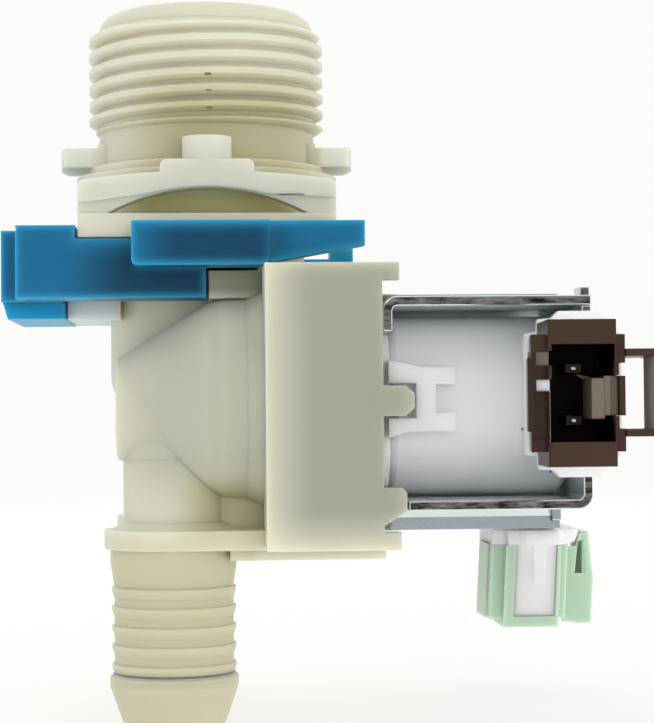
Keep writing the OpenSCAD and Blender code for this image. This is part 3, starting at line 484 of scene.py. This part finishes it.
def corner_outline(x, z, radius, side, up):
    """The waste outside a rounded corner at x, z that points to side along X and to up along Z."""
    points = [(x - side * radius, z + up * 0.4), (x + side * 0.4, z + up * 0.4), (x + side * 0.4, z - up * radius)]
    for k in range(9):
        turn = math.pi / 16 * k
        points.append((x - side * radius * (1 - math.cos(turn)), z - up * radius * (1 - math.sin(turn))))
    return points


FACE_Y = -18.5
UNDER_ARM = ((-13.7, -4.3), (-13.26, -4.26), (-11.4, -4.1), (-9.38, -3.81), (-7.6, -3.6), (-5.96, -3.3),
             (-4.5, -3.0), (-3.05, -2.79), (-1.5, -2.66), (-0.04, -2.62), (1.5, -2.68), (2.98, -2.81),
             (4.6, -3.1), (6.1, -3.42), (8.0, -3.56), (10.17, -3.66), (13.25, -3.84), (13.7, -3.86),
             (13.7, -5.5), (-13.7, -5.42))

body = copy_of("valve_body", "threaded_valve_body", nylon)
cut(body, helical_cutter("thread_groove", 7, GROOVE_AT_RIGHT - 3 * PITCH))
cut(body, helical_cutter("thread_run_out", 1, GROOVE_AT_RIGHT - 2.5 * PITCH - 0.75))
cut(body, cut_prism("hollow_under_arm", UNDER_ARM, FACE_Y - 0.5, FACE_Y + 0.5))
cut(body, cut_box("slit_under_arm", (7.4, -19.0, -3.56), (10.0, -18.2, -3.48)))
for side in (-1, 1):
    cut(body, cut_prism("pad_corner", corner_outline(side * 4.9, 0.2, 0.75, side, 1), -19, -14.4))
    cut(body, cut_prism("plate_corner", corner_outline(side * 13.45, -1.92, 0.6, side, 1), -19, -8))
    cut(body, cut_box("wing_top", (side * 14.8 - 2.75, -7, 3.12), (side * 14.8 + 2.75, 7, 4.2)))
cut(body, cut_box("rear_upper_nub", (19.62, 1.5, -14.2), (21.8, 3.7, -11.6)))
cut(body, cut_box("rear_lower_nub", (19.62, 1.5, -40.3), (21.8, 4.15, -38.2)))
stand_in(body, "valve_body", "valve")


# Blue fork: its bar is stepped back a little where it thins

fork = copy_of("lock_slide", "blue_lock_fork", blue)
cut(fork, cut_box("bar_step", (6.35, -24.0, -13.0), (18.0, -23.42, -6.0)))
cut(fork, cut_prism("block_upper_corner", corner_outline(-20.35, -7.25, 0.5, -1, 1), -19, -12))
stand_in(fork, "lock_slide", "slide")


# Steel frames: plated faces, dark sheared edges with a small burr radius, and a painted highlight on the burr
# bevels. The plating inside the front frame gets a painted reflection of the white coil beside it

UNIT_Y = -16.0
UNIT_Z = -25.75
COIL_MIDDLE = Vector((27.0, UNIT_Y, UNIT_Z))


def frame_plate(node, name, across, shaping=None):
    plate = copy_of(node, name, zinc)
    if shaping:
        shaping(plate)
    soften = plate.modifiers.new("burr", "BEVEL")
    soften.width = 0.14 * MM
    soften.segments = 2
    soften.limit_method = "ANGLE"
    soften.angle_limit = math.radians(50)
    bpy.ops.object.modifier_apply(modifier=soften.name)
    if node.startswith("front"):
        # painted reflection of the white coil on the front frame's inner plating
        paint(plate, coil_reflection_zinc, lambda centre, normal: normal.dot(COIL_MIDDLE - centre) > 0)
    paint(plate, sheared, lambda centre, normal: abs(normal[across]) > 0.8)
    # painted highlight on the burr bevels
    paint(plate, highlight_plating, lambda centre, normal: max(abs(part) for part in normal) < 0.95
          and abs(normal[across]) > 0.25)
    # painted highlight on the leaned strip
    if shaping is bright_fold:
        paint(plate, highlight_plating, lambda centre, normal: normal.y < -0.5 and STRIP_FOOT < centre.z < STRIP_TOP)
    stand_in(plate, node, "valve")
    return plate


EAR_LEFT = 17.35
EAR_RIGHT = 18.3
EAR_TOP = UNIT_Z + 7.3
EAR_FOOT = UNIT_Z - 8.2


def room_for_ears(plate):
    for side in (-1, 1):
        y = sorted((UNIT_Y + side * 6.0, UNIT_Y + side * 14.5))
        cut(plate, cut_box("ear_room", (17.0, y[0], EAR_FOOT - 0.1), (EAR_RIGHT + 0.1, y[1], EAR_TOP + 0.1)))


STRIP_TOP = -37.6
STRIP_FOOT = -38.5


def bright_fold(plate):
    """Leans a strip of the front leg forward; frame_plate gives the strip a painted highlight over the darker foot
    of the leg.
    """
    select_only(plate)
    bpy.ops.object.mode_set(mode="EDIT")
    bpy.ops.mesh.select_all(action="SELECT")
    bpy.ops.mesh.bisect(plane_co=(0, 0, STRIP_FOOT * MM), plane_no=(0, 0, 1))
    bpy.ops.mesh.select_all(action="SELECT")
    bpy.ops.mesh.bisect(plane_co=(0, 0, STRIP_TOP * MM), plane_no=(0, 0, 1))
    bpy.ops.object.mode_set(mode="OBJECT")
    front = min(corner.co.y for corner in plate.data.vertices)
    for corner in plate.data.vertices:
        if corner.co.y < front + 0.3 * MM and abs(corner.co.z / MM - STRIP_TOP) < 0.02:
            corner.co.y -= 0.5 * MM


frame_plate("front_yoke_a", "front_frame_upper_plate", 1, room_for_ears)
frame_plate("front_yoke_b", "front_frame_lower_plate", 1)
frame_plate("rear_yoke_a", "rear_frame_upper_plate", 2, bright_fold)
frame_plate("rear_yoke_b", "rear_frame_lower_plate", 2)


# Front coil case: two white ears beside the steel leg, and its fork reaching back to the body

def end_ears():
    bpy.ops.object.select_all(action="DESELECT")
    bpy.ops.mesh.primitive_cylinder_add(vertices=96, radius=10.4 * MM, depth=(EAR_RIGHT - EAR_LEFT) * MM,
                                        location=Vector(((EAR_LEFT + EAR_RIGHT) / 2, UNIT_Y, UNIT_Z)) * MM,
                                        rotation=(0, math.pi / 2, 0))
    ears = bpy.context.object
    ears.name = "front_coil_end_ears"
    bpy.ops.object.transform_apply(location=True, rotation=True, scale=True)
    cut(ears, cut_box("between_ears", (17, UNIT_Y - 6.2, -37), (19, UNIT_Y + 6.2, -14)))
    cut(ears, cut_box("before_ears", (17, UNIT_Y - 12, -37), (19, UNIT_Y - 9.15, -14)))
    cut(ears, cut_box("behind_ears", (17, UNIT_Y + 9.15, -37), (19, UNIT_Y + 12, -14)))
    cut(ears, cut_box("over_ears", (17, UNIT_Y - 12, EAR_TOP), (19, UNIT_Y + 12, EAR_TOP + 4)))
    cut(ears, cut_box("under_ears", (17, UNIT_Y - 12, EAR_FOOT - 4), (19, UNIT_Y + 12, EAR_FOOT)))
    ears.data.materials.append(white)
    soften = ears.modifiers.new("soften", "BEVEL")
    soften.width = 0.12 * MM
    soften.segments = 2
    soften.limit_method = "ANGLE"
    soften.angle_limit = math.radians(40)
    bpy.ops.object.modifier_apply(modifier=soften.name)
    settle(ears)
    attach(ears, "valve")


end_ears()
case = copy_of("front_coil_case", "front_coil_cover", white)
for corner in case.data.vertices:
    x, y = corner.co.x / MM, corner.co.y / MM
    if x < 18.9 and y < -25.5:
        corner.co.x = 17.85 * MM
    if 30.7 < x < 31.0 and y < -29.5:
        corner.co.x += 0.45 * MM
stand_in(case, "front_coil_case", "valve")


# Front plug: slots that show the white lining, painted shade inside and on the sunken left panel, taupe step, and
# latch bar with painted light on its inner face

CAVITY_LEFT = 32.15
CAVITY_RIGHT = 38.15
CAP_FRONT = -40.4
PLUG_MIDDLE = -24.75
LATCH_LEFT = 40.3


def inside_cavity(centre):
    return (CAVITY_LEFT - 0.05 < centre.x < CAVITY_RIGHT + 0.05 and abs(centre.z - PLUG_MIDDLE) < 4.65
            and centre.y > CAP_FRONT + 0.6)


def is_step(centre, normal):
    return (36.4 < centre.x < CAVITY_RIGHT - 0.05 and abs(centre.z - PLUG_MIDDLE + 0.4) < 2.3
            and centre.y < -18.5 and normal.y < -0.5)


def is_latch_inner(centre, normal):
    return centre.x > LATCH_LEFT and normal.x < -0.7


plug = copy_of("front_connector", "front_plug_cap", brown)
cut(plug, cut_box("lining_slit", (31.93, -42, -29.4), (32.2, -38, -24.5)))
cut(plug, cut_box("upper_slot_side", (31.8, -42, -22.15), (32.2, -38, -20.75)))
cut(plug, cut_box("lower_slot_side", (31.8, -42, -24.55), (32.2, -38, -23.45)))
cut(plug, cut_box("tongue_room", (38.0, -42, -26.95), (38.75, -38.5, -23.05)))
select_only(plug)
for corner in plug.data.vertices:
    x, y = corner.co.x / MM, corner.co.y / MM
    if x > LATCH_LEFT:
        corner.co.x += 1.1 * MM
        if y > -36.4:
            corner.co.y = max(y - 1.5, -36.3) * MM
    if x < 31.2 and y > -33:
        corner.co.x += 0.7 * MM
# painted shade inside the cavity
paint(plug, cavity_shade_brown, lambda centre, normal: inside_cavity(centre))
paint(plug, taupe, is_step)
# painted light on the latch bar's inner face
paint(plug, latch_face_light, is_latch_inner)
# painted shade on the sunken left panel
paint(plug, shade_brown, lambda centre, normal: centre.x < 31.95 and normal.y < -0.9 and centre.z < -20.5)
stand_in(plug, "front_connector", "valve")


def plug_insert(name, finish, low, high, rounding=0.06):
    """A small block set in the plug, with its edges rounded over."""
    block = cut_box(name, low, high)
    block.data.materials.append(finish)
    round_over = block.modifiers.new("round_over", "BEVEL")
    round_over.width = rounding * MM
    round_over.segments = 2
    bpy.ops.object.modifier_apply(modifier=round_over.name)
    settle(block)
    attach(block, "valve")


plug_insert("shroud_lining_in_upper_slot", taupe, (30.82, -39.8, -22.14), (32.12, -38.4, -20.76))
plug_insert("shroud_lining_in_lower_slot", white, (30.82, -40.2, -24.54), (32.12, -38.4, -23.46))
plug_insert("shroud_lining_in_slit", white, (31.95, -40.3, -29.38), (32.13, -38.1, -24.5), 0.03)
plug_insert("plug_tongue_near", taupe, (36.15, -39.9, -27.2), (37.46, -35.0, -23.32), 0.12)
# the far tongue in painted shade
plug_insert("plug_tongue_far", shaded_taupe, (37.44, -39.7, -26.9), (38.73, -35.0, -23.1), 0.1)

# Front contacts in painted shade, with a painted glint on a small inset at each tip
contacts = copy_of("front_terminals", "front_contacts", shaded_contact_metal)
select_only(contacts)
bpy.ops.object.mode_set(mode="EDIT")
bpy.ops.mesh.select_mode(type="FACE")
bpy.ops.mesh.select_all(action="SELECT")
bpy.ops.mesh.dissolve_limited(angle_limit=math.radians(1))
bpy.ops.mesh.select_all(action="DESELECT")
bpy.ops.object.mode_set(mode="OBJECT")
tip = min(corner.co.y for corner in contacts.data.vertices)
for face in contacts.data.polygons:
    face.select = face.normal.y < -0.9 and face.center.y < tip + 0.1 * MM
bpy.ops.object.mode_set(mode="EDIT")
bpy.ops.mesh.inset(thickness=0.28 * MM)
bpy.ops.object.mode_set(mode="OBJECT")
ends = [face.index for face in contacts.data.polygons if face.select]
# painted glint on the tips
contacts.data.materials.append(bright)
for k in ends:
    end = contacts.data.polygons[k]
    end.material_index = 1
    for j in end.vertices:
        corner = contacts.data.vertices[j].co
        corner.x = end.center.x + (corner.x - end.center.x) * 0.35
stand_in(contacts, "front_terminals", "valve")


# Return springs: a bright steel copy of each, with a mesh of its own

for unit in ("front", "rear"):
    spring = copy_of(unit + "_spring", unit + "_return_spring", bright)
    stand_in(spring, unit + "_spring", "valve")
    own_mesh(spring)


# Finish of the solids that stay as they are

FINISH = {
    "lock_slide": blue, "inlet_strainer": natural, "regulator_seat": natural, "flow_regulator": rubber,
}
for unit, cap in (("front", brown), ("rear", green)):
    FINISH.update({
        unit + "_diaphragm": rubber, unit + "_diaphragm_insert": natural, unit + "_bonnet": natural,
        unit + "_plunger": bright, unit + "_plunger_seal": rubber,
        unit + "_flux_sleeve": zinc, unit + "_bobbin": natural, unit + "_winding": copper,
        unit + "_coil_case": white, unit + "_terminals": bright, unit + "_connector": cap,
    })
for name, finish in FINISH.items():
    solid = frame["nodes"][name]
    if solid.hide_render:
        continue
    solid.data.materials.clear()
    solid.data.materials.append(finish)


# Floor

def make_floor():
    bpy.ops.object.select_all(action="DESELECT")
    bpy.ops.mesh.primitive_plane_add(size=12, location=(0, 0, cad_box[0][2] - 0.0002))
    floor = bpy.context.object
    floor.name = "floor"
    made, nodes, links, shader = new_material("pale_floor")
    shader.inputs["Base Color"].default_value = (0.24, 0.24, 0.235, 1)
    shader.inputs["Roughness"].default_value = 0.9
    shader.inputs["Emission Color"].default_value = (1.0, 1.0, 0.985, 1)
    shader.inputs["Emission Strength"].default_value = 0.715
    floor.data.materials.append(made)


make_floor()
